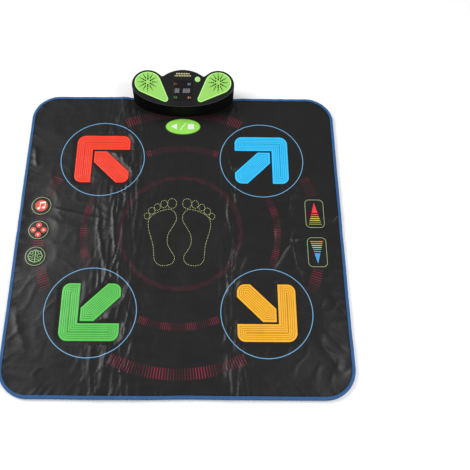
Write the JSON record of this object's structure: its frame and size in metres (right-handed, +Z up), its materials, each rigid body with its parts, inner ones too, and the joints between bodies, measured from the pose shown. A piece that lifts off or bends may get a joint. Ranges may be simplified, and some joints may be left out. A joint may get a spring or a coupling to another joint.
{
  "type": "electronic dance mat",
  "caption": "Padded square floor mat with light-up arrow pads, small mode and volume pads, and a speaker console with a sloping face on its back edge.",
  "frame": {"origin": "on the floor under the middle of the mat", "axes": "+X to the right of someone who stands on the mat facing the console, +Y towards the console, +Z up"},
  "size_m": [0.92, 0.9568, 0.0976],
  "materials": {
    "black_vinyl": "soft black vinyl film, glossy, lightly creased",
    "blue_tape": "woven blue binding tape, stitched",
    "grey_foam": "closed-cell foam sheet",
    "clear_film": "polyester film with printed contacts",
    "backing_mesh": "anti-slip rubberised sheet",
    "red_pad": "translucent red vinyl, embossed contour lines",
    "blue_pad": "translucent blue vinyl, embossed contour lines",
    "green_pad": "translucent green vinyl, embossed contour lines",
    "yellow_pad": "translucent yellow vinyl, embossed contour lines",
    "light_panel": "edge-lit light guide",
    "lime_pad": "lime green printed vinyl",
    "dark_pad": "black printed vinyl",
    "console_black": "satin black moulded plastic",
    "lime_plastic": "lime green moulded plastic",
    "speaker_black": "black moulded plastic and paper cone",
    "smoked_window": "smoked acrylic",
    "board_green": "green circuit board",
    "steel": "zinc-plated steel",
    "battery_jacket": "dark plain cell jacket",
    "rubber": "matt black rubber",
    "film_tail": "amber flexible film"
  },
  "bodies": {
    "mat": {"anti_slip_backing": "backing_mesh", "padding_foam": "grey_foam", "spacer_sheet": "grey_foam", "cover_foam": "grey_foam", "lower_contact_film": "clear_film", "upper_contact_film": "clear_film", "top_sheet": "black_vinyl", "edge_binding": "blue_tape", "console_base": "console_black", "console_top_shell": "console_black", "battery_tray": "console_black", "left_speaker_grille": "lime_plastic", "right_speaker_grille": "lime_plastic", "left_speaker": "speaker_black", "right_speaker": "speaker_black", "display_module": "speaker_black", "power_switch": "speaker_black", "aux_jack": "speaker_black", "power_jack": "speaker_black", "display_window": "smoked_window", "circuit_board": "board_green", "mounting_plate": "steel", "mounting_screw_1": "steel", "mounting_screw_2": "steel", "mounting_screw_3": "steel", "mounting_screw_4": "steel", "left_rear_screw": "steel", "right_rear_screw": "steel", "left_battery_contacts": "steel", "right_battery_contacts": "steel", "battery_1": "battery_jacket", "battery_2": "battery_jacket", "battery_3": "battery_jacket", "battery_4": "battery_jacket", "left_rear_foot": "rubber", "right_rear_foot": "rubber", "ribbon_cable": "film_tail"},
    "red_arrow": {"red_arrow_head": "red_pad", "red_arrow_shaft": "red_pad", "red_light_panel": "light_panel"},
    "blue_arrow": {"blue_arrow_head": "blue_pad", "blue_arrow_shaft": "blue_pad", "blue_light_panel": "light_panel"},
    "green_arrow": {"green_arrow_head": "green_pad", "green_arrow_shaft": "green_pad", "green_light_panel": "light_panel"},
    "yellow_arrow": {"yellow_arrow_head": "yellow_pad", "yellow_arrow_shaft": "yellow_pad", "yellow_light_panel": "light_panel"},
    "play_stop": {"play_stop_pad": "lime_pad"},
    "music_mode": {"music_mode_pad": "dark_pad"},
    "arrow_mode": {"arrow_mode_pad": "dark_pad"},
    "memory_mode": {"memory_mode_pad": "dark_pad"},
    "volume_up": {"volume_up_pad": "dark_pad"},
    "volume_down": {"volume_down_pad": "dark_pad"},
    "power_push": {"power_button": "lime_plastic"},
    "door": {"battery_door": "console_black", "battery_door_screw": "steel"}
  },
  "joints": [
    {"name": "red_arrow_press", "type": "slide", "parent": "mat", "child": "red_arrow", "axis": [0, 0, -1], "range_m": [0, 0.001], "stiffness_N_per_m": 20000},
    {"name": "blue_arrow_press", "type": "slide", "parent": "mat", "child": "blue_arrow", "axis": [0, 0, -1], "range_m": [0, 0.001], "stiffness_N_per_m": 20000},
    {"name": "green_arrow_press", "type": "slide", "parent": "mat", "child": "green_arrow", "axis": [0, 0, -1], "range_m": [0, 0.001], "stiffness_N_per_m": 20000},
    {"name": "yellow_arrow_press", "type": "slide", "parent": "mat", "child": "yellow_arrow", "axis": [0, 0, -1], "range_m": [0, 0.001], "stiffness_N_per_m": 20000},
    {"name": "play_stop_press", "type": "slide", "parent": "mat", "child": "play_stop", "axis": [0, 0, -1], "range_m": [0, 0.0008], "stiffness_N_per_m": 12000},
    {"name": "music_mode_press", "type": "slide", "parent": "mat", "child": "music_mode", "axis": [0, 0, -1], "range_m": [0, 0.0008], "stiffness_N_per_m": 12000},
    {"name": "arrow_mode_press", "type": "slide", "parent": "mat", "child": "arrow_mode", "axis": [0, 0, -1], "range_m": [0, 0.0008], "stiffness_N_per_m": 12000},
    {"name": "memory_mode_press", "type": "slide", "parent": "mat", "child": "memory_mode", "axis": [0, 0, -1], "range_m": [0, 0.0008], "stiffness_N_per_m": 12000},
    {"name": "volume_up_press", "type": "slide", "parent": "mat", "child": "volume_up", "axis": [0, 0, -1], "range_m": [0, 0.0008], "stiffness_N_per_m": 12000},
    {"name": "volume_down_press", "type": "slide", "parent": "mat", "child": "volume_down", "axis": [0, 0, -1], "range_m": [0, 0.0008], "stiffness_N_per_m": 12000},
    {"name": "power_button_press", "type": "slide", "parent": "mat", "child": "power_push", "axis": [0, 0.3387, -0.9409], "range_m": [0, 0.0012], "stiffness_N_per_m": 2500},
    {"name": "battery_door_slide", "type": "slide", "parent": "mat", "child": "door", "axis": [0, 1, 0], "range_m": [0, 0.03]}
  ]
}
